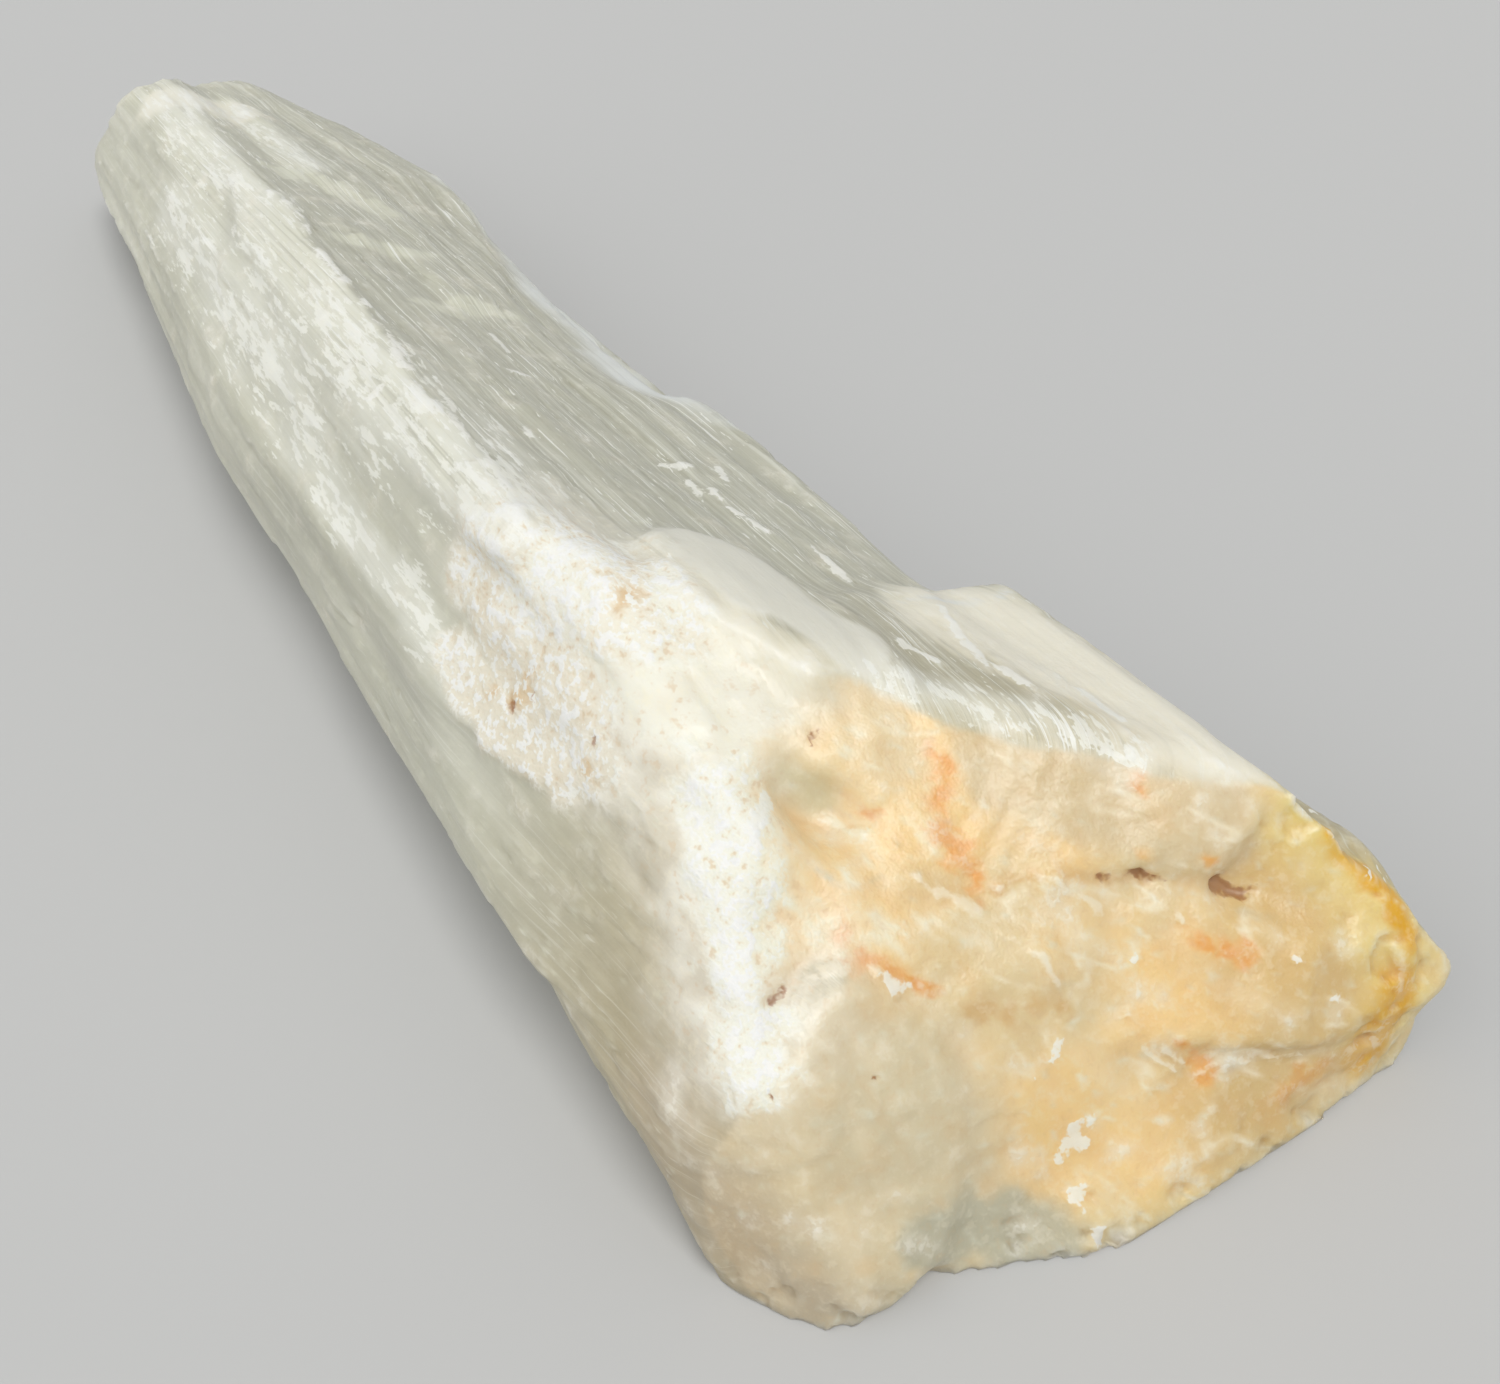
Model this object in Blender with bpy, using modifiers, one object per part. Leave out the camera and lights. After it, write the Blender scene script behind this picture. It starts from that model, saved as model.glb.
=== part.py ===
"""A rough selenite crystal: one piece of fibrous gypsum about 150 mm long, narrow at its tip and
broken across at its wide end. It lies on its flat underside. X runs along the fibres from the tip
to the broken end, Y across, Z up. The origin is on the ground below the middle of the crystal.

The shape is drawn in millimetres, with x = 0 where the crusted break begins, and is centred last.
A bundle is lofted through its edges and broken off flat at its tip, its top and its left corner.
Its wide end is cut by an uneven sheet. Layers are added, cracks and pits are cut, and the whole
surface is roughened along the fibres, in lumps on the crust and in shells on the broken end."""

import bmesh
import bpy
from mathutils import Vector, noise

MM = 0.001
SEED = Vector((31.0, 17.0, 5.0))

# Driving dimensions, in millimetres
GRAIN = 0.8              # the finest form that the surface keeps
TRIANGLES = 9000         # about how many the rough surface has before its underside is cut flat
RING_SPACING = 6.0       # between the rings of the bundle, besides those where its edges bend
LAYER_ROOT = 4.0         # how deep a layer reaches into the crystal, where it is one with it
RIB_WIDTH = 2.4
RIB_LENGTH = 40.0
RIB_HEIGHT = 0.36
BUNDLE_WIDTH = 6.0
BUNDLE_LENGTH = 90.0
BUNDLE_HEIGHT = 0.4
SPLINTER_WIDTH = 3.2
SPLINTER_LENGTH = 22.0
SPLINTER_HEIGHT = 0.22
LUMP_SIZE = 3.2
LUMP_HEIGHT = 0.55
SHELL_SIZE = 5.5
SHELL_HEIGHT = 0.42

# Places that other measures start from
INSIDE = Vector((-20.0, -3.0, 10.0))
CRUST_MIDDLE = Vector((3.0, -15.0, 25.0))

# The fibres fan out from a point behind the tip, and are measured at FAN_LENGTH from it
FAN_POINT = Vector((-194.0, -3.0, 0.0))
FAN_LENGTH = 200.0

# The edges of the unbroken bundle, as (x, y, z) from the tip to the wide end, in order round it
EDGES = {
    "ridge": (
        (-112, -5.0, 14.6), (-81, -6.2, 19.0), (-59, -6.5, 22.3), (-42, -8.8, 24.8), (-25, -10.2, 27.2),
        (0, -12.9, 31.2), (52, -19.0, 39.0),
    ),
    "right_face": (
        (-112, 0.5, 12.8), (-81, 2.5, 14.8), (-59, 2.5, 17.6), (-30, 1.5, 20.8), (3, 3.5, 22.9),
        (5, 9.0, 21.6), (16, 7.0, 23.4), (52, 8.0, 27.0),
    ),
    "right_edge": (
        (-112, 5.0, 10.0), (-94, 7.3, 11.3), (-78, 10.8, 12.4), (-70, 12.0, 12.9), (-59, 10.6, 13.8),
        (-37, 9.6, 15.3), (-28.5, 10.0, 16.0), (-26.5, 12.3, 16.2), (-11, 12.9, 17.2), (3.2, 12.8, 18.1),
        (5.2, 17.7, 18.9), (10, 18.2, 19.2), (25, 18.5, 20.2), (31, 20.2, 20.2), (52, 25.0, 21.0),
    ),
    "right_belly": (
        (-112, 6.0, 6.0), (-70, 12.5, 6.2), (-37, 12.0, 7.0), (-5, 16.0, 7.5), (10, 20.0, 7.5),
        (38, 27.8, 5.8), (52, 30.6, 6.0),
    ),
    "right_foot": (
        (-112, 3.0, 2.6), (-70, 7.5, 1.0), (-50, 8.0, -1.5), (0, 12.0, -1.5), (38, 24.5, -1.5),
        (52, 27.5, -1.5),
    ),
    "left_foot": (
        (-112, -6.5, 2.6), (-70, -10.5, 1.0), (-50, -13.0, -1.5), (0, -15.5, -1.5), (30, -20.5, -1.5),
        (52, -22.0, -1.5),
    ),
    "left_edge": (
        (-112, -10.0, 6.6), (-98, -12.8, 7.0), (-76, -15.6, 7.7), (-51, -19.3, 8.4), (-33, -19.8, 9.0),
        (-15, -20.8, 9.6), (4, -21.8, 10.1), (16, -22.2, 9.4), (26, -22.4, 8.6), (52, -23.6, 8.0),
    ),
    "shoulder": (
        (-112, -9.6, 10.5), (-85, -13.0, 12.3), (-58, -16.9, 15.1), (-45, -18.1, 16.4), (-13, -18.7, 19.8),
        (2, -20.4, 21.4), (52, -24.0, 26.0),
    ),
    "middle_line": (
        (-112, -7.4, 12.9), (-81, -9.9, 16.4), (-58, -12.2, 19.8), (-35, -14.4, 22.2), (-8, -16.2, 25.6),
        (2, -17.6, 26.8), (52, -22.5, 33.0),
    ),
}

# The flat breaks, each given by three of its corners
BREAKS = {
    "crusted_top": ((2.0, -21.0, 21.0), (-1.5, -13.0, 30.0), (16.6, -11.2, 25.0)),
    "pale_top": ((-1.0, -8.0, 30.5), (13.6, 0.3, 25.7), (16.6, -11.2, 25.0)),
    "left_flank": ((4.0, -22.8, 9.5), (18.5, -15.4, 20.8), (27.0, -17.9, 15.0)),
    "left_foot": ((26.9, -17.6, 15.0), (23.5, -22.4, 8.0), (31.8, -20.4, 1.5)),
    "left_corner": ((31.2, -19.7, 0.5), (35.8, -16.4, 0.5), (29.7, -18.0, 10.0)),
    "tip_left": ((-105.2, -10.0, 5.0), (-103.8, -4.0, 11.0), (-100.6, -9.0, 12.5)),
    "tip_right": ((-103.6, 4.0, 5.0), (-104.8, 0.0, 9.0), (-101.6, 4.0, 12.0)),
    "tip_top": ((-103.6, -3.0, 10.5), (-102.6, 3.0, 10.5), (-97.8, -5.0, 16.8)),
}
UNDERSIDE = ((0.0, 0.0, 0.0), (1.0, 0.0, 0.0), (0.0, 1.0, 0.0))

# Layers that stand up from the faces: how thick, and the corners of each one's outline on its face.
# A side whose corners lie a little below the face runs out into it with no step.
LAYERS = {
    "tip_layer": (0.7, (
        (-101.0, 3.0, 12.4), (-93.0, 7.0, 11.6), (-77.5, 10.6, 12.6), (-70.0, 11.6, 13.2),
        (-58.0, 10.0, 14.2), (-41.0, 4.0, 18.3), (-42.0, -1.0, 21.2), (-50.8, 0.8, 19.2),
        (-53.4, -4.0, 21.8), (-66.0, -3.2, 19.6), (-81.0, -1.0, 16.5),
    )),
    "white_band": (0.6, (
        (-74.0, -6.3, 19.9), (-52.0, -7.4, 23.4), (-38.0, -9.3, 25.3), (-14.0, -11.5, 29.0),
        (-3.0, -13.0, 30.8), (-5.0, -15.0, 28.4), (-22.0, -14.5, 25.2), (-40.0, -13.2, 22.6),
        (-60.0, -11.2, 20.2),
    )),
    "grey_step": (1.0, (
        (-3.0, -6.1, 27.5), (-2.7, -2.7, 25.9), (-1.0, -0.1, 24.6), (3.0, 1.2, 24.4), (9.0, 2.6, 24.6),
        (14.0, 2.2, 25.2), (13.0, -4.0, 27.2), (5.0, -8.0, 29.2),
    )),
    "front_lobe": (0.9, (
        (24.4, -12.0, 17.8), (25.4, -9.4, 17.4), (27.0, -7.0, 15.4), (30.6, -5.8, 11.3), (34.5, -8.0, 3.3),
        (36.0, -12.0, 1.0), (35.6, -15.9, 1.0), (31.0, -16.4, 8.2), (27.4, -16.0, 14.8),
    )),
    "front_right": (1.0, (
        (27.2, 8.0, 15.8), (31.0, 14.0, 14.0), (34.0, 18.5, 12.3), (37.0, 24.0, 9.5), (38.2, 25.0, 6.0),
        (38.4, 18.0, 6.2), (36.3, 10.6, 8.0), (32.7, 5.0, 9.7),
    )),
    "front_top": (0.7, (
        (16.6, 2.0, 23.4), (20.8, 8.0, 22.6), (26.0, 14.0, 20.4), (29.0, 18.0, 18.6), (29.8, 14.0, 15.8),
        (27.8, 9.0, 17.2), (25.0, 2.0, 17.8), (20.8, -2.0, 20.2),
    )),
    "back_plate": (0.9, (
        (-50.0, 10.9, 12.2), (-12.0, 14.0, 13.4), (-3.0, 15.2, 10.6), (-9.0, 15.5, 8.0), (-45.0, 11.9, 8.0),
    )),
    "back_wing": (1.0, (
        (8.0, 19.0, 14.5), (32.0, 24.2, 13.5), (39.0, 27.9, 6.5), (24.0, 23.9, 7.0), (4.0, 18.6, 8.5),
    )),
}

# Cracks and pits: each one's two ends, its width and its depth
PITS = {
    "long_crack": ((26.4, 5.0, 17.8), (31.2, 16.0, 14.2), 1.3, 1.6),
    "brown_pit": ((29.4, 12.8, 15.4), (31.0, 15.6, 14.3), 2.2, 2.4),
    "top_notch": ((14.6, -4.6, 25.8), (17.4, -11.0, 23.6), 1.8, 1.8),
    "notch_hollow": ((15.4, -8.6, 24.2), (20.6, -4.0, 21.4), 5.0, 1.6),
    "lobe_pit": ((24.4, -13.2, 17.6), (26.6, -15.4, 15.6), 1.6, 1.6),
    "left_crack": ((-8.5, -18.6, 20.2), (0.5, -20.6, 16.0), 1.0, 1.2),
    "tip_notch": ((-104.0, -3.2, 12.6), (-100.0, -2.2, 15.6), 1.6, 1.6),
    "ground_notch": ((34.5, -11.5, 0.0), (39.5, -10.0, 0.0), 4.0, 2.4),
}

# The uneven sheet of the broken end: how far along it lies, by height and by place across
SHEET_ROW = 5.0
SHEET_COLUMN = 8.0
SHEET_LOW = -5.0
SHEET_LEFT = -32.0
SHEET_BACK = 80.0
SHEET = (
    (36.0, 36.0, 37.5, 40.0, 43.5, 43.0, 41.5, 40.5, 40.0, 40.0),
    (34.0, 34.0, 35.8, 36.6, 40.2, 40.4, 40.0, 39.6, 39.0, 38.0),
    (31.0, 31.0, 33.0, 34.0, 35.2, 37.6, 38.6, 39.2, 39.0, 37.0),
    (28.5, 28.5, 30.2, 31.2, 32.2, 33.8, 35.2, 37.4, 38.0, 36.0),
    (25.5, 25.5, 27.2, 28.0, 29.0, 29.2, 30.4, 34.0, 35.0, 35.0),
    (19.5, 19.5, 20.8, 22.0, 22.6, 24.0, 26.8, 31.5, 33.0, 34.0),
    (16.0, 16.0, 16.6, 14.6, 15.6, 18.0, 22.0, 28.0, 31.0, 33.0),
    (12.0, 12.0, 12.0, 8.5, 10.0, 14.0, 18.0, 25.0, 29.0, 32.0),
    (8.0, 8.0, 8.0, 4.0, 6.0, 10.5, 15.0, 22.0, 26.5, 30.0),
)


def clear_scene():
    for obj in list(bpy.data.objects):
        bpy.data.objects.remove(obj)


def place_on_edge(line, x):
    """The place on an edge of the bundle at x"""
    for (x0, y0, z0), (x1, y1, z1) in zip(line, line[1:]):
        if x <= x1:
            part = (x - x0) / (x1 - x0)
            return (x, y0 + (y1 - y0) * part, z0 + (z1 - z0) * part)
    return line[-1]


def bundle_of_fibres():
    """The unbroken bundle, lofted through its edges and closed at both ends"""
    first = EDGES["ridge"][0][0]
    last = EDGES["ridge"][-1][0]
    places = {x for line in EDGES.values() for x, y, z in line}
    places |= {first + RING_SPACING * i for i in range(int((last - first) / RING_SPACING))}
    shape = bmesh.new()
    rings = [[shape.verts.new(place_on_edge(line, x)) for line in EDGES.values()] for x in sorted(places)]
    for near, far in zip(rings, rings[1:]):
        for i in range(len(near)):
            j = (i + 1) % len(near)
            shape.faces.new((near[i], near[j], far[j], far[i]))
    shape.faces.new(rings[0][::-1])
    shape.faces.new(rings[-1])
    bmesh.ops.recalc_face_normals(shape, faces=shape.faces)
    return shape


def break_off(shape, corners):
    """Removes what lies beyond the flat through three corners and closes the cut"""
    a, b, c = (Vector(corner) for corner in corners)
    normal = (b - a).cross(c - a).normalized()
    if (INSIDE - a).dot(normal) > 0:
        normal.negate()
    everything = shape.verts[:] + shape.edges[:] + shape.faces[:]
    cut = bmesh.ops.bisect_plane(shape, geom=everything, plane_co=a, plane_no=normal, clear_outer=True)
    edges = [e for e in cut["geom_cut"] if isinstance(e, bmesh.types.BMEdge)]
    bmesh.ops.contextual_create(shape, geom=edges)


def beyond_the_broken_end():
    """The space beyond the broken end, from its uneven sheet out to SHEET_BACK"""
    shape = bmesh.new()
    sheet = []
    back = []
    for row, depths in enumerate(SHEET):
        z = SHEET_LOW + SHEET_ROW * row
        across = [SHEET_LEFT + SHEET_COLUMN * column for column in range(len(depths))]
        sheet.append([shape.verts.new((x, y, z)) for x, y in zip(depths, across)])
        back.append([shape.verts.new((SHEET_BACK, y, z)) for y in across])
    for grid in (sheet, back):
        for low, high in zip(grid, grid[1:]):
            for i in range(len(low) - 1):
                shape.faces.new((low[i], low[i + 1], high[i + 1], high[i]))
    rim = [e for e in shape.edges if e.is_boundary]
    bmesh.ops.bridge_loops(shape, edges=rim)
    bmesh.ops.triangulate(shape, faces=shape.faces)
    bmesh.ops.recalc_face_normals(shape, faces=shape.faces)
    return shape


def sheet_place(y, z):
    """How far along the broken end's sheet lies, at a place across and a height"""
    row = (z - SHEET_LOW) / SHEET_ROW
    column = (y - SHEET_LEFT) / SHEET_COLUMN
    i = min(max(int(row), 0), len(SHEET) - 2)
    j = min(max(int(column), 0), len(SHEET[0]) - 2)
    up = row - i
    aside = column - j
    low = SHEET[i][j] * (1 - aside) + SHEET[i][j + 1] * aside
    high = SHEET[i + 1][j] * (1 - aside) + SHEET[i + 1][j + 1] * aside
    return low * (1 - up) + high * up


def layer_on_face(thickness, outline):
    """A slab on a face: its outline pushed out by its thickness and in by its root"""
    corners = [Vector(corner) for corner in outline]
    middle = sum(corners, Vector()) / len(corners)
    spokes = [corner - middle for corner in corners]
    normal = sum((a.cross(b) for a, b in zip(spokes, spokes[1:] + spokes[:1])), Vector()).normalized()
    if (middle - INSIDE).dot(normal) < 0:
        normal.negate()
    shape = bmesh.new()
    base = shape.faces.new([shape.verts.new(corner - normal * LAYER_ROOT) for corner in corners])
    drawn = bmesh.ops.extrude_face_region(shape, geom=[base], use_keep_orig=True)
    top = [v for v in drawn["geom"] if isinstance(v, bmesh.types.BMVert)]
    bmesh.ops.translate(shape, vec=normal * (LAYER_ROOT + thickness), verts=top)
    bmesh.ops.triangulate(shape, faces=shape.faces)
    bmesh.ops.recalc_face_normals(shape, faces=shape.faces)
    return shape


def long_pit(start, end, width, depth):
    """A long rounded hollow from one end to the other, which reaches in by its depth"""
    start, end = Vector(start), Vector(end)
    middle = (start + end) / 2
    lengthwise = (end - start).normalized()
    crosswise = (middle - INSIDE).cross(lengthwise).normalized()
    inward = lengthwise.cross(crosswise)
    shape = bmesh.new()
    bmesh.ops.create_icosphere(shape, subdivisions=2, radius=1.0)
    for vert in shape.verts:
        a, b, c = vert.co
        vert.co = middle + (end - start) * a / 2 + crosswise * b * width / 2 + inward * c * depth
    bmesh.ops.recalc_face_normals(shape, faces=shape.faces)
    return shape


def fibre_place(point):
    """Where a point lies in the bundle: along the fibres, then across them, which fan out"""
    spread = FAN_LENGTH / (point.x - FAN_POINT.x)
    return Vector((point.x, (point.y - FAN_POINT.y) * spread, point.z * spread))


def stretched(fibres, length, width):
    """A place in the bundle, counted in forms that are long along the fibres and narrow across"""
    return Vector((fibres.x / length, fibres.y / width, fibres.z / width))


def rise(value, low, high):
    """0 below low and 1 above high, with a smooth step between"""
    part = min(max((value - low) / (high - low), 0), 1)
    return part * part * (3 - 2 * part)


def crust(point):
    """How much crust a place has: all on the crusted break, and half in patches left of the ridge"""
    on_break = 1 - rise((point - CRUST_MIDDLE).length, 8, 14)
    patches = noise.noise(point / 9 + SEED) + 0.5 * noise.noise(point / 4 + SEED)
    by_ridge = rise(patches, 0.1, 0.5) * rise(point.z, 15, 20) * (1 - rise(point.y, -9, -5))
    return max(on_break, 0.5 * by_ridge)


def fibre_relief(point):
    """Ribs and broad bundles along the fibres, and splinters that each end in a place of their own"""
    fibres = fibre_place(point)
    ribs = noise.noise(stretched(fibres, RIB_LENGTH, RIB_WIDTH) + SEED)
    bundles = noise.noise(stretched(fibres, BUNDLE_LENGTH, BUNDLE_WIDTH) - SEED)
    splinter = stretched(fibres, SPLINTER_LENGTH, SPLINTER_WIDTH)
    splinter.x += 5 * noise.cell(Vector((0, splinter.y, splinter.z)) - SEED)
    return RIB_HEIGHT * ribs + BUNDLE_HEIGHT * bundles + SPLINTER_HEIGHT * noise.cell(splinter + SEED)


def lump_relief(point):
    return LUMP_HEIGHT * noise.fractal(point / LUMP_SIZE + SEED, 0.8, 2.0, 3)


def shell_relief(point):
    place = point / SHELL_SIZE
    return SHELL_HEIGHT * (noise.noise(place - SEED) + 0.6 * noise.noise(place * 2.5 + SEED))


def relief(point):
    """How far the rough surface stands out at a point"""
    crusted = crust(point)
    on_side = fibre_relief(point) * (1 - 0.6 * crusted) + lump_relief(point) * crusted
    on_end = rise(point.x - sheet_place(point.y, point.z), -2.2, -0.8)
    return on_side * (1 - on_end) + shell_relief(point) * on_end


def add_object(name, shape, collection):
    """A named object from a shape drawn in millimetres"""
    bmesh.ops.scale(shape, vec=(MM, MM, MM), verts=shape.verts)
    mesh = bpy.data.meshes.new(name)
    shape.to_mesh(mesh)
    shape.free()
    obj = bpy.data.objects.new(name, mesh)
    collection.objects.link(obj)
    return obj


def evaluated_shape(obj):
    """What an object's modifiers make of it, as a shape in millimetres"""
    evaluated = obj.evaluated_get(bpy.context.evaluated_depsgraph_get())
    shape = bmesh.new()
    shape.from_mesh(evaluated.to_mesh())
    evaluated.to_mesh_clear()
    bmesh.ops.scale(shape, vec=(1 / MM, 1 / MM, 1 / MM), verts=shape.verts)
    return shape


def combine(body, name, shape, operation, collection):
    """Joins a shape to the body, or takes it away, with a Boolean"""
    boolean = body.modifiers.new(name, "BOOLEAN")
    boolean.operation = operation
    boolean.object = add_object(name, shape, collection)


def smooth_crystal(collection):
    """The crystal before it is roughened: the bundle with its breaks, layers, cracks and pits"""
    bundle = bundle_of_fibres()
    for corners in BREAKS.values():
        break_off(bundle, corners)
    body = add_object("bundle", bundle, collection)
    combine(body, "beyond_the_broken_end", beyond_the_broken_end(), "DIFFERENCE", collection)
    for name, (thickness, outline) in LAYERS.items():
        combine(body, name, layer_on_face(thickness, outline), "UNION", collection)
    for name, (start, end, width, depth) in PITS.items():
        combine(body, name, long_pit(start, end, width, depth), "DIFFERENCE", collection)
    return body


def rough_crystal(body, collection):
    """The body with an even fine mesh, roughened, and then with only the faces that its forms need"""
    even = body.modifiers.new("even mesh", "REMESH")
    even.mode = "VOXEL"
    even.voxel_size = GRAIN * MM
    shape = evaluated_shape(body)
    shape.normal_update()
    moves = [(vert, vert.normal * relief(vert.co)) for vert in shape.verts]
    for vert, move in moves:
        vert.co += move
    rough = add_object("rough_crystal", shape, collection)
    fewer = rough.modifiers.new("fewer faces", "DECIMATE")
    fewer.ratio = TRIANGLES / (2 * len(rough.data.polygons))
    return evaluated_shape(rough)


def selenite_material():
    material = bpy.data.materials.new("selenite")
    material.use_nodes = True
    surface = material.node_tree.nodes["Principled BSDF"]
    surface.inputs["Base Color"].default_value = (0.66, 0.63, 0.55, 1)
    surface.inputs["Roughness"].default_value = 0.42
    surface.inputs["Metallic"].default_value = 0.0
    return material


def centre(obj):
    """Moves an object so that the origin is on the ground below the middle of its box"""
    for axis in (0, 1):
        places = [vert.co[axis] for vert in obj.data.vertices]
        obj.location[axis] = -(min(places) + max(places)) / 2


def main():
    clear_scene()
    selenite = bpy.data.collections.new("selenite")
    helpers = bpy.data.collections.new("cutters")
    for collection in (selenite, helpers):
        bpy.context.scene.collection.children.link(collection)

    shape = rough_crystal(smooth_crystal(helpers), helpers)
    break_off(shape, UNDERSIDE)
    crystal = add_object("selenite_crystal", shape, selenite)
    crystal.data.materials.append(selenite_material())
    centre(crystal)
    for helper in helpers.objects:
        helper.hide_render = True
        helper.display_type = "WIRE"


main()
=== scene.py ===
"""The looks of a rough selenite crystal: a fine mesh over its solid, with the fibres, flakes, crust
grains and thin shells that are too small for the solid, and a material for its milky body, white crust
and stains. The broad colours are worked out at the vertices, and the material adds what is finer.

Places on the crystal are in millimetres in its drawing frame, where x = 0 is the start of the crusted
break. DRAWING_ORIGIN is where that frame's origin is in the CAD frame. Left and right are as seen by
the camera."""

import math

import bmesh
import bpy
import numpy as np
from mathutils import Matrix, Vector, noise


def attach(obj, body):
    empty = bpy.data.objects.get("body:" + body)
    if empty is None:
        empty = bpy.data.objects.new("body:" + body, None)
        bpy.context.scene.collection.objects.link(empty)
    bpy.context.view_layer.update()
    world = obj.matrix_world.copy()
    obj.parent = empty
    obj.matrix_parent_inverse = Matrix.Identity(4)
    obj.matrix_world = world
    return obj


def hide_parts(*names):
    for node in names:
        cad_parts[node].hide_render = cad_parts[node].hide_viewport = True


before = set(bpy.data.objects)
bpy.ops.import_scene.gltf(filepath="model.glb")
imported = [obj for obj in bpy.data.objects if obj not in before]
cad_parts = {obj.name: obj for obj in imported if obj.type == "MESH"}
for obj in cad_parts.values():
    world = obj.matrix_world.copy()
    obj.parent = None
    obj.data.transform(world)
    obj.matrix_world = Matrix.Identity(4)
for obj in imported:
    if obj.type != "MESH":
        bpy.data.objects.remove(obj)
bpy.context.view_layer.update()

MM = 0.001
DRAWING_ORIGIN = np.array((34.16, -3.10, 0.0))

# The fine mesh, in millimetres. It is coarser along the fibres, where little changes
VOXEL = 0.335
ALONG_SHARE = 0.6
WELD_GAP = 0.001

# Smoothing, which is weaker across the fibres and at the ends
SMOOTHING_ROUNDS = 22
SMOOTHING_STEP = 0.45
ACROSS_WEIGHT = 0.10
END_CARE = 0.85
FACING_ROUNDS = 8
BROAD_ROUNDS = 60
EDGE_ROUNDS = 3

# How far apart in the noise two seeds and two octaves are
SEED_SHIFT = np.array((7.3, 3.1, 5.7))
CELL_SHIFT = np.array((7.0, 3.0, 5.0))
OCTAVE_SEED = 0.37

# The fibres fan out from a point behind the tip, and are measured at FAN_LENGTH from it. Round the
# bundle they are measured at CORE_RADIUS from a line through its middle
FAN_POINT = np.array((-194.0, -3.0, 0.0))
FAN_LENGTH = 200.0
CORE_HEIGHT = 10.0
CORE_RADIUS = 17.0

# The wide end broke from a point above its crest. Its rays and shells spread from there, and the rays
# are measured at FAN_WIDTH from it
BREAK_POINT = np.array((11.0, -15.0, 32.0))
FAN_WIDTH = 22.0

# The relief on the stem, in millimetres
RIB_HEIGHT = 0.26
LINE_HEIGHT = 0.05
FINE_LINE_HEIGHT = 0.02
STRAND_WIDTH = 1.7
STRAND_LENGTH = 9.0
STRAND_STEP = 0.09
FLAKE_HEIGHT = 0.12
RIDGE_EDGE_HEIGHT = 0.2

# The relief on the crust
LUMP_HEIGHT = 0.3
GRAIN_HEIGHT = 0.16
CRUST_WAVE_HEIGHT = 0.08
CRUST_DEPTH = 0.15

# The relief on the broken end
WAVE_HEIGHT = 0.26
RIPPLE_HEIGHT = 0.07
SHELL_WIDTH = 3.4
SHELL_HEIGHT = 0.17
BREAK_GRAIN_HEIGHT = 0.03
RAY_HEIGHT = 0.12
VEIN_HEIGHT = 0.15
CHIP_HEIGHT = 0.12
CRACK_DEPTH = 0.3
BITE_DEPTH = 0.5

# The material. The stone is milky, so it lets little light straight through and scatters much
IOR = 1.52
TRANSMISSION = 0.22
SCATTER = 0.7
SCATTER_BY_COLOUR = (1.0, 0.96, 0.88)
SCATTER_DISTANCE = 2.6
LEAST_ROUGHNESS = 0.26
BUMP_STRENGTH = 0.9
BUMP_HEIGHT = 0.2

# The camera stands over the wide end and looks down along the crystal
CAMERA_AZIMUTH = math.radians(57.5)
CAMERA_HEIGHT_ANGLE = math.radians(45.0)
CAMERA_TARGET = Vector((0.0, 0.0, 13.4))
CAMERA_DISTANCE = 127.0
CLIP_START = 2.0
LENS = 45.6
SENSOR = 36.0

# The floor, whose size is in metres, and the light. Each lamp has the place that it shines from, its
# strength and how wide it looks in degrees
FLOOR_SIZE = 30.0
FLOOR_COLOUR = (0.46, 0.46, 0.45, 1)
FLOOR_ROUGHNESS = 0.8
KEY_PLACE = (0.45, -0.10, 1.0)
KEY_STRENGTH = 2.0
KEY_SPREAD = 30
LEFT_PLACE = (-0.2, -1.0, 0.65)
LEFT_STRENGTH = 0.75
LEFT_SPREAD = 60
SKY_COLOUR = (0.97, 0.98, 1.0, 1)
SKY_STRENGTH = 0.5

# Marks on the surface. Each is a reach in millimetres and a line of places. The mark is strongest on
# the line and ends at the reach, with an edge that noise makes uneven

# White chalk along the ridge
CHALK = [
    (3.4, [(-93, -6.5, 17), (-91.5, -4.3, 17), (-91.5, -2, 16), (-88.3, -0.9, 15.7)]),
    (3.4, [(-90, -5, 17.6), (-83, -6.7, 18.3), (-77.5, -6.3, 19.3)]),
    (3.0, [(-80, -6.5, 18), (-72, -7.6, 19.6), (-66, -8, 20.7)]),
    (2.6, [(-84, -0.5, 16.5), (-78, -0.2, 17.7), (-71, 0, 18.5)]),
    (4.2, [(-76, -12, 16), (-64, -13, 17.8), (-52, -14.6, 18.4), (-44, -15, 20), (-33, -16.5, 20)]),
    (5.0, [(-62, -9, 21), (-50, -12.5, 21.6), (-39, -12.2, 24.2), (-31, -13, 25)]),
    (6.0, [(-31, -13, 25), (-23, -12.5, 26.6), (-16, -12, 28.6), (-9, -11.5, 29.8), (-2, -11, 29.8)]),
    (2.4, [(-30, -16.8, 19.5), (-22.8, -17.6, 19.7), (-18.1, -18.2, 20.3), (-14.1, -17.9, 21),
           (-9.3, -18.3, 20.1)]),
    (2.2, [(13.4, 0.4, 26.3), (15.2, 3.5, 24.9), (18, 5.9, 24.2), (19.6, 8, 23.5), (24, 11, 21.8)]),
]
# The granular crust
CRUST = [
    (5.4, [(-6, -15, 26), (1, -16, 23.5), (5, -16, 22.5)]),
    (4.6, [(-2, -11, 29), (4, -9.5, 28.4)]),
    (2.6, [(-7, -17.5, 20), (-1, -18, 19.5), (5, -17, 20.2)]),
]
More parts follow.
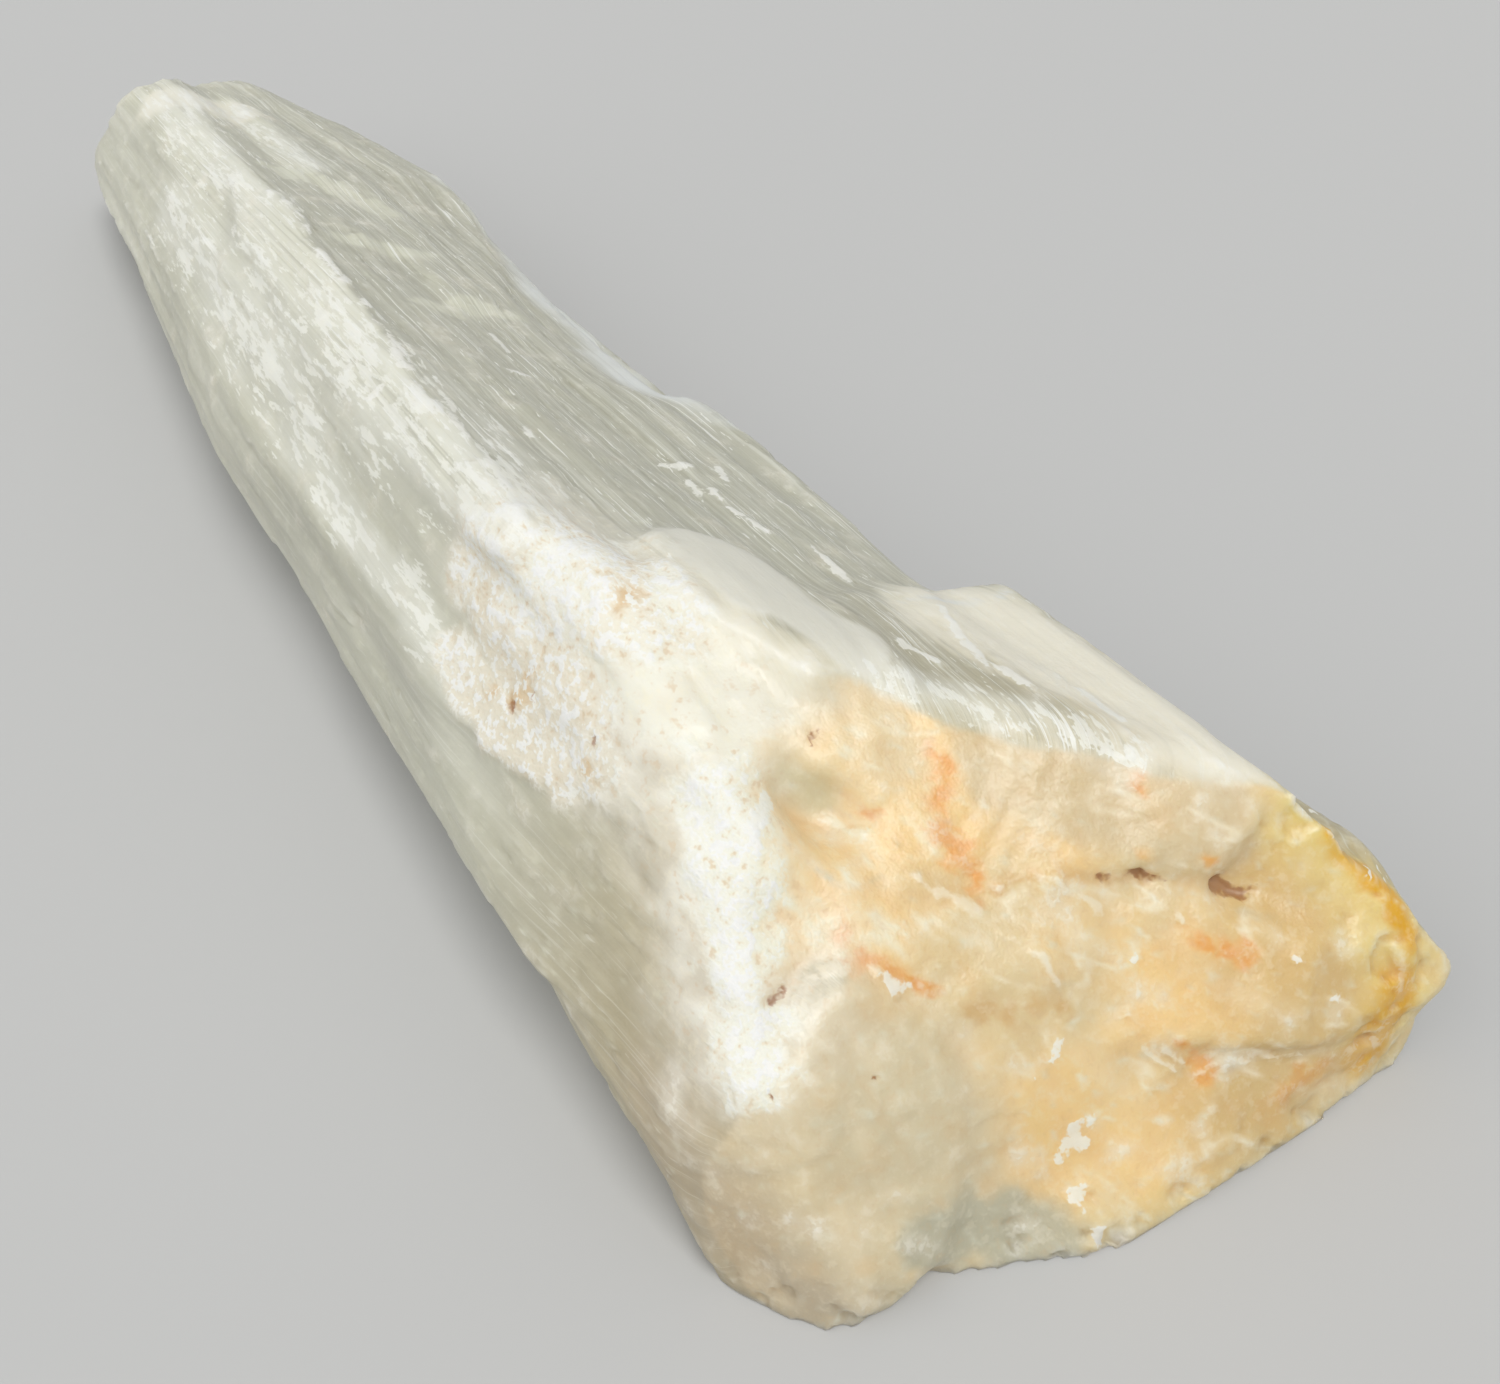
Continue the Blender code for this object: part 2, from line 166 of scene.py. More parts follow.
# White that fades away softly round the crust and the crest
HAZE = [
    (10.0, [(-5, -13, 27.5), (3, -12, 27.5), (10, -12, 26)]),
    (10.0, [(14, -12, 25), (18, -13, 22.8), (21, -14.5, 20), (24, -15.6, 17.4)]),
    (5.0, [(21, -12, 20), (23, -9.3, 19)]),
]
# The whitest part of the crest beside the broken end: white crust, with a painted highlight on it
CREST = [
    (3.6, [(15, -12, 24.6), (18.9, -13, 22.5), (20.3, -13.6, 20.8)]),
    (3.2, [(20.3, -13.6, 20.8), (22, -15.2, 19), (24.8, -15.8, 16.7), (26, -16.2, 15.2)]),
]
# Pale stone at the tip and on the plates
PALE = [
    (3.6, [(-93, -6.5, 17), (-91.2, -4.3, 17.1), (-91.5, -2, 16), (-88.3, -0.9, 15.7)]),
    (7.0, [(4, -10, 28), (11, -8, 26.5), (17, -4, 24.5)]),
    (7.0, [(8, 11, 21.5), (16, 14, 20.5), (24, 17, 20)]),
]
# The smooth grey step beside the crust
STEP = [
    (2.8, [(-2, -3.6, 26), (2, -1.8, 25.8), (6.5, -1.8, 26.4), (11, -0.2, 26.3)]),
    (2.4, [(1, -4.2, 27.2), (5.5, -3.6, 27.9)]),
]
# The smooth bevel along the far edge, and a thin white line on a plate
BEVEL = [
    (2.2, [(-70, 11, 12.4), (-56, 10.6, 13.4)]),
    (3.5, [(-56, 10.6, 13.4), (-45, 10.2, 14), (-36, 10, 14.8), (-31, 10, 15.6)]),
    (2.4, [(-31, 10, 15.6), (-27, 10.6, 15.9), (-22, 11.6, 15.2)]),
    (0.5, [(6.1, 7.7, 22.5), (6.1, 11.4, 20.8), (6, 15.6, 19.6)]),
]
# A smooth patch on the left side
SMOOTH = [(5.5, [(-22, -17, 21), (-14, -16.5, 23), (-8, -16.5, 23)])]
# Stains on the broken end, and orange spots in the crust
ORANGE = [
    (1.5, [(18.3, 1.2, 23.1), (19.3, 1.1, 22.3), (20.2, 0, 21.7)]),
    (1.7, [(21.8, -0.7, 20.6), (23.3, -0.4, 19.5), (24.5, -0.2, 18.3)]),
    (1.0, [(25, 11.1, 20.9)]),
    (1.0, [(27.8, 9.7, 18.2)]),
    (0.8, [(29.6, 13.2, 17.2)]),
    (0.6, [(18.8, -3.9, 22)]),
    (1.1, [(23, -8.8, 19.1), (24.7, -8.6, 17.9), (26.2, -6.7, 16.7), (27.2, -5.6, 15.8)]),
    (1.3, [(31.5, 10.7, 13.7), (32.6, 11.9, 13.1), (33.6, 13.4, 12.5)]),
    (1.0, [(35.3, 8.2, 9.4), (36.5, 9, 6.6)]),
    (1.4, [(38.9, 13.9, 4), (38.7, 15.1, 4.6), (38.7, 16.4, 4.5)]),
    (1.0, [(0.1, -13.9, 26.6)]),
    (0.7, [(3.1, -9.5, 29.3)]),
    (0.7, [(0.3, -15.4, 23.8)]),
    (0.7, [(4.3, -16.1, 20.8)]),
]
YELLOW = [
    (4.4, [(30.6, 19.6, 17.6), (31.8, 21, 16.2), (33.9, 22.3, 14), (36.5, 22.9, 11.6)]),
    (5.0, [(36.5, 22.7, 11.6), (38.5, 23.1, 8.1), (39.1, 21.8, 5)]),
]
GOLD = [
    (1.7, [(31.5, 21.5, 16.6), (33.5, 22.9, 14.6), (35.5, 23.6, 12.6), (37.2, 23.8, 10.6)]),
    (3.4, [(38.4, 22.4, 8), (39.1, 21.6, 6), (39.3, 20.8, 3.8)]),
]
# Brown specks, and the crack that they lie in
BROWN = [
    (0.9, [(29.6, 14, 14.6), (30.5, 15.1, 14.2)]),
    (0.5, [(27, 6.6, 17.7), (28.2, 9.9, 16.4), (29.7, 14.1, 14.8), (30.7, 16.4, 14.2)]),
    (0.5, [(14.6, -4.6, 25.3), (15.1, -5.4, 25)]),
    (0.6, [(23.9, -13.3, 17.7), (24.4, -13.9, 17.2)]),
    (0.5, [(27.8, -16.7, 14.4)]),
    (0.3, [(29.5, -10.6, 13.7)]),
    (0.5, [(-0.7, -16.8, 20.6), (-0.2, -17, 20.4)]),
    (0.5, [(0.9, -16.2, 22.2)]),
    (0.5, [(6.9, -15.4, 23.2)]),
]
# Faint ochre smears on the break and the crust
OCHRE = [
    (2.2, [(39, 19.5, 4), (38.8, 15.5, 4.2), (39, 12.7, 3.4)]),
    (1.0, [(28.9, -3.6, 14), (29.3, -2.4, 13.7), (29.7, -1.6, 13.4)]),
    (1.0, [(30.1, -0.1, 13.1), (30.3, 1, 12.8), (30.7, 2.1, 12.2)]),
    (0.8, [(24.8, 0.5, 18.3), (25.6, 3.1, 18.5), (26.7, 6, 17.7), (28.2, 9.9, 16.4)]),
    (1.2, [(-0.4, -16.6, 21), (0.4, -15.6, 23)]),
    (1.0, [(3.2, -11, 29.3), (3, -9.6, 29.3)]),
    (0.9, [(7.2, -15.9, 21.6)]),
    (0.8, [(-2.7, -17, 20.1)]),
]
# Pale raised veins across the broken end
VEINS = [
    (0.6, [(17.4, -6.3, 21.1), (19.8, -4.5, 20.7), (21.8, -3.5, 20.2), (23.3, -3, 19.2),
           (24.8, -1.6, 18.1), (26.7, -0.1, 16.8), (28.9, 1.3, 15.3), (30.1, 2.4, 13.5)]),
    (0.5, [(24.8, 0.5, 18.3), (25.6, 3.1, 18.5), (26.7, 4.2, 17.5), (27.9, 6.1, 16), (29.2, 8.2, 15.4),
           (30.7, 10.5, 14.4)]),
    (0.35, [(32.5, 5, 11), (34.2, 6.1, 9.2), (35.7, 7.4, 7.1)]),
    (0.35, [(32.6, 5.5, 11.2), (34.4, 6.6, 9.9), (35.5, 8.2, 7.5)]),
    (0.5, [(35.8, 7.2, 6.9), (36.7, 10.7, 7.1), (38, 15.5, 6), (39.2, 23.2, 1.9)]),
    (0.6, [(24.1, -13.7, 17.5), (24, -12, 17.8), (24.9, -9.3, 17.7), (25.8, -7.9, 17.1)]),
]
# White flakes on the broken end and the crest
FLAKES = [
    (0.7, [(31.8, 1.3, 10.8), (32.1, 0.5, 10.2)]),
    (0.45, [(32.3, -1.1, 9.5)]),
    (0.9, [(34.6, 1.2, 6.4), (35.3, 0.6, 5.1)]),
    (0.6, [(35.3, -0.6, 4.4), (35, 0.2, 5.4)]),
    (0.8, [(36.8, -0.3, 3), (37.4, -0.6, 2.4)]),
    (0.9, [(38.8, -0.4, 1.2), (39.4, -0.4, 0.6)]),
    (0.5, [(30.8, 7.3, 13.4)]),
    (0.45, [(35, 15.8, 12.1), (35.4, 16.3, 11.8)]),
    (0.45, [(37.3, 17.8, 9.2), (37.5, 18.3, 9)]),
    (0.7, [(26, -7.9, 17), (26.9, -6.8, 16.1)]),
    (1.0, [(16.2, -9.3, 23.5), (17.8, -11.2, 23.6)]),
]
# Small white chips and scratches on the faces
CHIPS = [
    (0.6, [(-30.8, -9.8, 26.5), (-28.3, -10.4, 27)]),
    (0.5, [(-36.6, 0.1, 20.7), (-33.3, -0.1, 21.1)]),
    (0.55, [(-29.4, -1.8, 22.6), (-28.8, -0.5, 21.7)]),
    (0.5, [(-22.9, -9.4, 27), (-21, -9.8, 27.4)]),
    (0.5, [(-20.2, -5.4, 24.8), (-18.7, -5.6, 25)]),
    (0.6, [(-15.5, 2.6, 21.3), (-14.9, 3.4, 21.2), (-14.6, 4.5, 20.9)]),
    (0.6, [(-14.2, 6.3, 20.1), (-12.4, 6, 20.4)]),
    (0.55, [(-12.7, 3.1, 21.4), (-10.9, 2.9, 21.6)]),
    (0.55, [(-11.2, 4, 21.5), (-9.8, 3.9, 21.7)]),
    (0.45, [(-2.9, 6.6, 21), (-0.1, 6.4, 21.3), (2.3, 6.3, 21.5)]),
    (0.4, [(-8.5, 3.8, 21.8), (-4.6, 4.5, 21.9)]),
    (0.7, [(-27.6, -12.4, 26.1), (-27.9, -12.9, 25.7)]),
    (0.6, [(7.3, 9.6, 21.7), (10.9, 8.5, 22.6), (13.9, 8, 23.1)]),
    (0.6, [(14.5, 8.7, 22.9), (16.9, 9.1, 23)]),
    (0.7, [(17.5, 12.7, 21.5), (20.9, 12.9, 21.7)]),
    (0.5, [(10.4, 4.1, 24.4), (12.8, 5.4, 24)]),
]
# Soft pale bands across the face beside the ridge
BANDS = [
    (1.5, [(-53, -4.5, 22), (-52.3, -1.8, 20.8), (-50.7, 1, 19.8)]),
    (1.6, [(-40.9, -3, 22.2), (-40.9, 0.5, 20.4), (-40.3, 3.9, 18.8)]),
    (1.8, [(-72, -3.5, 19.4), (-66, -0.5, 18.6), (-60, 2, 17.6)]),
]
# The edge between the pale ridge and the greyer face beside it
RIDGE_EDGE = [
    (0.9, [(-65, -7.6, 21.3), (-58.6, -6.2, 22.3), (-48, -8.2, 24.4), (-34.4, -8.9, 25.7),
           (-24, -10.2, 27.3), (-17.6, -10.8, 28.3), (-9, -12, 29.8)]),
]
# Parts of the wide end: the foot of the break, a brownish patch of painted shade left of it, the lobe,
# the strip along the top, the far corner, and the notch with its greenish hollow
FOOT = [(3.8, [(35.3, -9.5, 3.7), (35.9, -5, 2.2), (37.5, -3, 0.8)])]
PAINTED_SHADE_PATCH = [(6.5, [(23.4, -20.9, 10), (28.4, -20.4, 6), (31, -19.2, 3), (33.4, -18, 2)])]
LOBE = [(10.0, [(28, -14, 13), (32, -11, 8), (35, -12, 3)])]
BREAK_TOP = [(4.5, [(20, 4.6, 22.9), (24, 8, 21), (26.5, 11, 19.9), (29, 15, 18.4)])]
BREAK_CORNER = [(9.0, [(33, 16, 13), (37, 17, 8), (38.5, 12, 4)])]
NOTCH = [(4.0, [(16.5, -7.5, 22.5), (19.5, -5.5, 21)])]
HOLLOW = [(2.6, [(15.3, -7.2, 23.6), (16.4, -6, 22.3)])]

# The marks that all have the same uneven edges
WAVY_MARKS = {
    "chalk": CHALK,
    "crust": CRUST,
    "crest": CREST,
    "pale": PALE,
    "orange": ORANGE,
    "yellow": YELLOW,
    "gold": GOLD,
    "brown": BROWN,
    "ochre": OCHRE,
    "veins": VEINS,
    "flakes": FLAKES,
    "foot": FOOT,
    "lobe": LOBE,
    "break_top": BREAK_TOP,
    "break_corner": BREAK_CORNER,
    "notch": NOTCH,
    "hollow": HOLLOW,
}


def linear(red, green, blue):
    """A colour as seen on a screen, from 0 to 255, as the light that the shader works in"""
    return tuple(((part / 255 + 0.055) / 1.055) ** 2.4 for part in (red, green, blue)) + (1.0,)


# Colours of the body, what tints it towards the broken end, and the painted shade that darkens its
# hollows
DIM_BODY = linear(212, 211, 190)
BRIGHT_BODY = linear(232, 231, 215)
CLEAR_GREY = linear(197, 196, 179)
LEFT_GREY_AND_SHADE = linear(196, 195, 178)
WARM_TINT = linear(232, 210, 168)
PAINTED_HOLLOW_SHADE = linear(214, 200, 172)
BAND_WHITE = linear(232, 232, 212)
PALE_STONE = linear(248, 243, 226)
CHALK_VEIL = linear(236, 236, 224)
STEP_GREY = linear(238, 236, 223)
BEVEL_WHITE = linear(236, 239, 236)
WORN_WHITE = linear(252, 250, 240)

# Colours of the broken end
CREAM = linear(232, 211, 164)
PEACH = linear(250, 214, 150)
CORNER_CREAM = linear(220, 190, 130)
LOBE_CREAM = linear(220, 209, 178)
TOP_CREAM = linear(220, 202, 164)
WISP_CREAM = linear(253, 242, 214)
PALE_RAY = linear(250, 234, 200)
DARK_RAY = linear(222, 184, 132)
PALE_MOTTLE = linear(250, 232, 192)
DARK_MOTTLE = linear(226, 188, 130)
FOOT_GREY = linear(190, 187, 164)
HOLLOW_GREY = linear(206, 202, 160)
PAINTED_SHADE_BROWN = linear(190, 176, 152)
YELLOW_STAIN = linear(238, 214, 140)
GOLD_STAIN = linear(230, 172, 4)
PALE_ORANGE = linear(246, 202, 130)
ORANGE_STAIN = linear(240, 166, 68)
OCHRE_STAIN = linear(222, 182, 118)

# Colours of the haze, the crust and the crest
DIM_HAZE = linear(236, 229, 212)
BRIGHT_HAZE = linear(252, 248, 235)
DIM_CRUST = linear(242, 234, 214)
BRIGHT_CRUST = linear(250, 245, 230)
DARK_CRUST = linear(230, 216, 190)
CREST_WHITE_AND_HIGHLIGHT = linear(253, 250, 235)

# Colours that only the material lays on
PALE_STREAK = linear(240, 240, 228)
DARK_STREAK = linear(172, 170, 150)
SCRATCH_AND_GLINT_WHITE = linear(250, 250, 242)
PALE_SPECKLE = linear(252, 243, 218)
DARK_SPECKLE = linear(216, 184, 136)
CHALK_WHITE = linear(252, 252, 243)
PALE_GRAIN = linear(255, 254, 246)
DARK_GRAIN_AND_CREVICE_SHADE = linear(222, 202, 168)
VEIN_CREAM = linear(253, 242, 218)
FLAKE_WHITE = linear(250, 249, 240)
SPECK_BROWN = linear(170, 108, 56)


def rise(value, low, high):
    """0 below low and 1 above high, with a smooth step between"""
    part = np.clip((value - low) / (high - low), 0, 1)
    return part * part * (3 - 2 * part)


def noise_at(places, seed):
    """Soft noise from about -1 to 1 at each of many places"""
    shift = SEED_SHIFT * seed
    return np.array([noise.noise(place) for place in (places + shift).tolist()])


def clouds_at(places, seed, octaves=3):
    """Noise with finer noise on it, from about 0 to 1"""
    total = 0
    for step in range(octaves):
        finer = 2 ** step
        total = total + noise_at(places * finer, seed + OCTAVE_SEED * step) / finer
    return 0.5 + 0.25 * total


def cells_at(places, seed):
    """A value from 0 to 1 for the unit cell that each place is in"""
    shift = CELL_SHIFT * seed + 0.5
    return np.array([noise.cell(place) for place in (places + shift).tolist()])


def grains_at(places, seed):
    """Rounded grains of about unit size, from 0 between them to 1 on top"""
    shift = SEED_SHIFT * seed
    gaps = np.array([noise.voronoi(place)[0][0] for place in (places + shift).tolist()])
    return np.sqrt(np.clip(1 - gaps * gaps, 0, 1))


def warped(points, size, amount, seed):
    """Places pushed about by soft noise, so that what is measured from them gets uneven edges"""
    push = [noise_at(points / size, seed + axis) for axis in range(3)]
    return points + amount * np.stack(push, 1)


def near_marks(points, marks):
    """1 on the lines of some marks, falling evenly to 0 at their reach"""
    strongest = np.zeros(len(points))
    for reach, line in marks:
        line = np.array(line, float)
        ends = line[1:] if len(line) > 1 else line
        for start, end in zip(line, ends):
            along = end - start
            squared_length = max(along @ along, 1e-9)
            part = np.clip((points - start) @ along / squared_length, 0, 1)
            gap = np.linalg.norm(points - start - part[:, None] * along, axis=1)
            strongest = np.maximum(strongest, 1 - gap / reach)
    return strongest


def mark(field, unevenness, low, high):
    """A mark from its field, with an uneven edge, and nothing outside its reach"""
    return rise(field + unevenness, low, high) * rise(field, 0.0, 0.15)


def inside(field, values, outside=-1):
    """Values where a field is above 0, and elsewhere one so low that the material shows nothing"""
    return np.where(field > 0, values, outside)


def fibre_places(points):
    """Where points lie in the bundle: along the fibres, then across them, which fan out"""
    spread = FAN_LENGTH / (points[:, 0] - FAN_POINT[0])
    return np.stack((points[:, 0], (points[:, 1] - FAN_POINT[1]) * spread, points[:, 2] * spread), 1)


def strand_places(points, fibres):
    """Where points lie on the bundle's skin: along it, then round it"""
    turn = np.arctan2(fibres[:, 1], fibres[:, 2] - CORE_HEIGHT)
    return np.stack((points[:, 0], CORE_RADIUS * turn, 0 * turn), 1)


def ray_places(points):
    """Where points lie on the broken end: away from where it broke, then round that place"""
    across = points - BREAK_POINT
    angle = np.arctan2(across[:, 1], -across[:, 2])
    return np.stack((np.linalg.norm(across, axis=1), FAN_WIDTH * angle, 0 * angle), 1)


def vectors_of(data, name):
    values = np.empty(len(data) * 3, np.float32)
    data.foreach_get(name, values)
    return values.reshape(-1, 3).astype(float)


def edges_of(mesh):
    edges = np.empty(len(mesh.edges) * 2, np.int32)
    mesh.edges.foreach_get("vertices", edges)
    return edges.reshape(-1, 2)


def evened(values, edges, weight, rounds, share=1.0):
    """Values at the vertices, each drawn towards its neighbours' by the weight of each edge"""
    count = len(values)
    total = np.bincount(edges[:, 0], weight, count) + np.bincount(edges[:, 1], weight, count)
    for _ in range(rounds):
        pull = (values[edges[:, 1]] - values[edges[:, 0]]) * weight[:, None]
        for axis in range(values.shape[1]):
            moved = np.bincount(edges[:, 0], pull[:, axis], count)
            moved -= np.bincount(edges[:, 1], pull[:, axis], count)
            values[:, axis] += SMOOTHING_STEP * share * moved / total
    return values


def set_places(mesh, points):
    places = (points + DRAWING_ORIGIN) * MM
    mesh.vertices.foreach_set("co", places.astype(np.float32).ravel())
    mesh.update()


def add_field(mesh, name, values):
    """Keeps a value at each vertex for the material to read"""
    single = values.ndim == 1
    field = mesh.attributes.new(name, "FLOAT" if single else "FLOAT_VECTOR", "POINT")
    field.data.foreach_set("value" if single else "vector", values.astype(np.float32).ravel())


def fine_mesh(node):
    """An even fine mesh over a CAD node's solid, in an object of its own, still short along x"""
    welded = bmesh.new()
    welded.from_mesh(node.data)
    bmesh.ops.remove_doubles(welded, verts=welded.verts, dist=WELD_GAP * MM)
    bmesh.ops.scale(welded, vec=(ALONG_SHARE, 1, 1), verts=welded.verts)
    mesh = bpy.data.meshes.new("welded")
    welded.to_mesh(mesh)
    welded.free()
    source = bpy.data.objects.new("welded", mesh)
    bpy.context.scene.collection.objects.link(source)
    even = source.modifiers.new("even mesh", "REMESH")
    even.mode = "VOXEL"
    even.voxel_size = VOXEL * MM
    evaluated = source.evaluated_get(bpy.context.evaluated_depsgraph_get())
    fine = bpy.data.meshes.new_from_object(evaluated)
    bpy.data.objects.remove(source)
    piece = bpy.data.objects.new("crystal_surface", fine)
    bpy.context.scene.collection.objects.link(piece)
    return piece


def smoothed_places(mesh, edges):
    """The fine mesh's places at full length, smoothed most along the fibres and least at the ends"""
    places = vectors_of(mesh.vertices, "co")
    places[:, 0] /= ALONG_SHARE
    points = places / MM - DRAWING_ORIGIN
    step = points[edges[:, 1]] - points[edges[:, 0]]
    along = step[:, 0] / np.linalg.norm(step, axis=1)
    set_places(mesh, points)
    facing = vectors_of(mesh.vertex_normals, "vector")
    facing = evened(facing, edges, np.ones(len(edges)), FACING_ROUNDS)
    ends = rise(np.abs(facing[:, 0]), 0.3, 0.5)
    weight = ACROSS_WEIGHT + along ** 2
    return evened(points, edges, weight, SMOOTHING_ROUNDS, 1 - END_CARE * ends)


def join_underside(mesh):
    """Joins the small faces of the flat underside, where nothing shows, into large ones"""
    flat = bmesh.new()
    flat.from_mesh(mesh)
    low = {face for face in flat.faces if all(vert.co.z < WELD_GAP * MM for vert in face.verts)}
    inner = [edge for edge in flat.edges if all(face in low for face in edge.link_faces)]
    bmesh.ops.dissolve_edges(flat, edges=inner, use_verts=True)
    flat.to_mesh(mesh)
    flat.free()


def surface_fields(points, fibres, broad):
    """By name, where the marks and the kinds of surface are and how the noise runs, at each vertex"""
    wavy = warped(warped(points, 1.9, 0.6, 20), 0.9, 0.3, 30)
    f = {name: near_marks(wavy, marks) for name, marks in WAVY_MARKS.items()}
    f["mottle"] = clouds_at(points / 2.4, 18)
    f["grain"] = 0.5 + 1.4 * (clouds_at(points / 0.8, 55, 2) - 0.5)
    f["rays"] = clouds_at(ray_places(points) / (9, 1.8, 1), 54, 2)
    f["bands"] = clouds_at(fibres / (50, 2.4, 2.4), 15)
    f["veils"] = clouds_at(fibres / (16, 5, 5), 16)
    f["flake"] = noise_at(fibres / (11, 2.8, 2.8), 11) + 0.45 * noise_at(fibres / (3.2, 1.3, 1.3), 12)
    mottled = f["mottle"] - 0.5
    grained = f["grain"] - 0.5

    # Marks whose edges waver in a way of their own
    f["veins"] *= rise(noise_at(points / 1.4, 13), -0.45, 0.1)
    f["flakes"] = np.maximum(f["flakes"], near_marks(points, CHIPS))
    ridge_edge = near_marks(warped(points, 4, 0.5, 53), RIDGE_EDGE)
    f["ridge_edge"] = ridge_edge * rise(noise_at(points / 2, 14), -0.3, 0.2)
    f["step"] = rise(near_marks(warped(points, 3, 0.4, 50), STEP), 0, 0.25)
    f["bevel"] = rise(near_marks(warped(warped(points, 6, 1.2, 51), 1.5, 0.4, 56), BEVEL), 0, 0.65)
    smooth = np.maximum(rise(near_marks(points, SMOOTH), 0, 0.5), f["step"])
    f["smooth"] = np.maximum(smooth, 0.6 * f["bevel"])

    # The broken end and its lower rim, the crust and the crest
    broken = rise(broad[:, 0], 0.40, 0.56) * rise(points[:, 0], 10, 16)
    f["broken"] = np.maximum(broken, rise(f["notch"], 0, 0.5))
    low = rise(-points[:, 2], -4.5, -0.5)
    f["rim"] = f["broken"] * np.maximum(low, rise(near_marks(points, YELLOW), 0.2, 0.7))
    covered = rise(f["crust"] + 0.8 * mottled, 0.0, 0.45)
    f["raised"] = covered * (1 - 0.9 * f["step"])
    f["crusty"] = covered * (1 - f["step"])
    f["crest"] = mark(f["crest"], 1.3 * mottled + 0.7 * grained, 0.0, 0.7)

    # The side on the left, which is greyer, partly as painted shade, and the clear face on the right
    f["left"] = rise(-broad[:, 1], 0.45, 0.75)
    f["clear"] = rise(broad[:, 1], 0.08, 0.34) * (1 - f["broken"]) * (1 - rise(f["pale"], 0, 0.4))
    return f


def fibre_relief(fibres, flake):
    """Ribs and lines along the fibres, strands that have broken off, and thin flakes"""
    ribs = noise_at(fibres / (90, 3.4, 3.4), 1)
    lines = 1 - 2 * np.abs(noise_at(fibres / (80, 1.5, 1.5), 2))
    fine = noise_at(fibres / (45, 0.8, 0.8), 3)
    strand = np.floor(fibres / (1, STRAND_WIDTH, STRAND_WIDTH))
    strand[:, 0] = 0
    strand[:, 0] = np.floor(fibres[:, 0] / STRAND_LENGTH + 5 * cells_at(strand, 4))
    height = RIB_HEIGHT * ribs + LINE_HEIGHT * lines + FINE_LINE_HEIGHT * fine
    height += STRAND_STEP * cells_at(strand, 5)
    return height + FLAKE_HEIGHT * (rise(flake, 0.06, 0.2) - 1)


def crust_relief(points):
    """The granular crust: uneven lumps with finer grains on them"""
    uneven = warped(points, 2.2, 1.1, 40)
    lumps = grains_at(uneven / 2.3, 1) * (0.5 + 0.5 * noise_at(points / 5, 43))
    grains = grains_at(uneven / 1.15, 2) * rise(noise_at(points / 3, 44), -0.3, 0.3)
    height = LUMP_HEIGHT * lumps + GRAIN_HEIGHT * grains
    return height + CRUST_WAVE_HEIGHT * noise_at(points / 1.3, 45) - CRUST_DEPTH


def break_relief(points):
    """The broken end: soft waves, and thin shells that step down away from where it broke"""
    waves = WAVE_HEIGHT * noise_at(points / 6.5, 6) + RIPPLE_HEIGHT * noise_at(points / 2.4, 7)
    gap = np.linalg.norm(points - BREAK_POINT, axis=1)
    shell = gap / SHELL_WIDTH + 1.5 * noise_at(points / 7, 8) + 0.35 * noise_at(points / 1.8, 9)
    shell -= np.floor(shell)
    shell = np.minimum(shell, 4 * (1 - shell))
    strength = rise(noise_at(points / 5, 10), -0.15, 0.35)
    height = waves + SHELL_HEIGHT * strength * (shell - 0.4)
    return height + BREAK_GRAIN_HEIGHT * noise_at(points / 0.9, 46)


def relief(points, fibres, f):
    """How far each vertex moves out, in millimetres, fading away at the floor"""
    broken = f["broken"]
    stem = (1 - broken) * (1 - f["raised"]) * (1 - 0.75 * f["smooth"])
    height = stem * fibre_relief(fibres, f["flake"])
    height += f["raised"] * crust_relief(points)
    height += broken * break_relief(points) * (1 - 0.6 * f["raised"])
    height += RAY_HEIGHT * broken * (f["rays"] - 0.5)
    height += VEIN_HEIGHT * rise(f["veins"], 0.0, 0.8) + CHIP_HEIGHT * rise(f["flakes"], 0.1, 0.5)
    height += RIDGE_EDGE_HEIGHT * rise(f["ridge_edge"], 0, 0.9)
    height -= CRACK_DEPTH * rise(f["brown"], 0.0, 0.8)
    bites = noise_at(points / 1.9, 19) + 0.4 * noise_at(points / 0.8, 21)
    height -= BITE_DEPTH * f["rim"] * rise(bites, 0.0, 0.5)
    return height * rise(points[:, 2], 0.0, 0.5)


def blended(base, other, share):
    """Colours drawn towards another colour, or other colours, each by its share"""
    base = np.asarray(base)[..., :3]
    other = np.asarray(other)[..., :3]
    return base + (other - base) * share[:, None]


def layered(colour, layers):
    """Colours with others laid over them in turn, each by its share"""
    for other, share in layers:
        colour = blended(colour, other, share)
    return colour


def break_colour(f):
    """The cream of the broken end, with paler rays and wisps from where it broke"""
    wisps = rise(np.abs(f["rays"] - 0.52), 0.03, 0.0) * rise(f["lobe"], 0.2, 0.0)
    return layered(blended(CREAM, PEACH, rise(f["cloud"], 0.36, 0.64)), [
        (CORNER_CREAM, 0.8 * rise(f["break_corner"], 0.0, 0.7)),
        (LOBE_CREAM, 0.8 * rise(f["lobe"], 0.05, 0.45)),
        (TOP_CREAM, 0.8 * rise(f["break_top"], 0.1, 0.5)),
        (WISP_CREAM, 0.7 * wisps * rise(f["mottle"], 0.42, 0.56)),
        (PALE_RAY, 0.4 * rise(f["rays"], 0.5, 0.75)),
        (DARK_RAY, 0.25 * rise(f["rays"], 0.46, 0.25)),
        (PALE_MOTTLE, 0.3 * rise(f["mottle"], 0.5, 0.7)),
        (DARK_MOTTLE, 0.25 * rise(f["mottle"], 0.45, 0.3)),
    ])


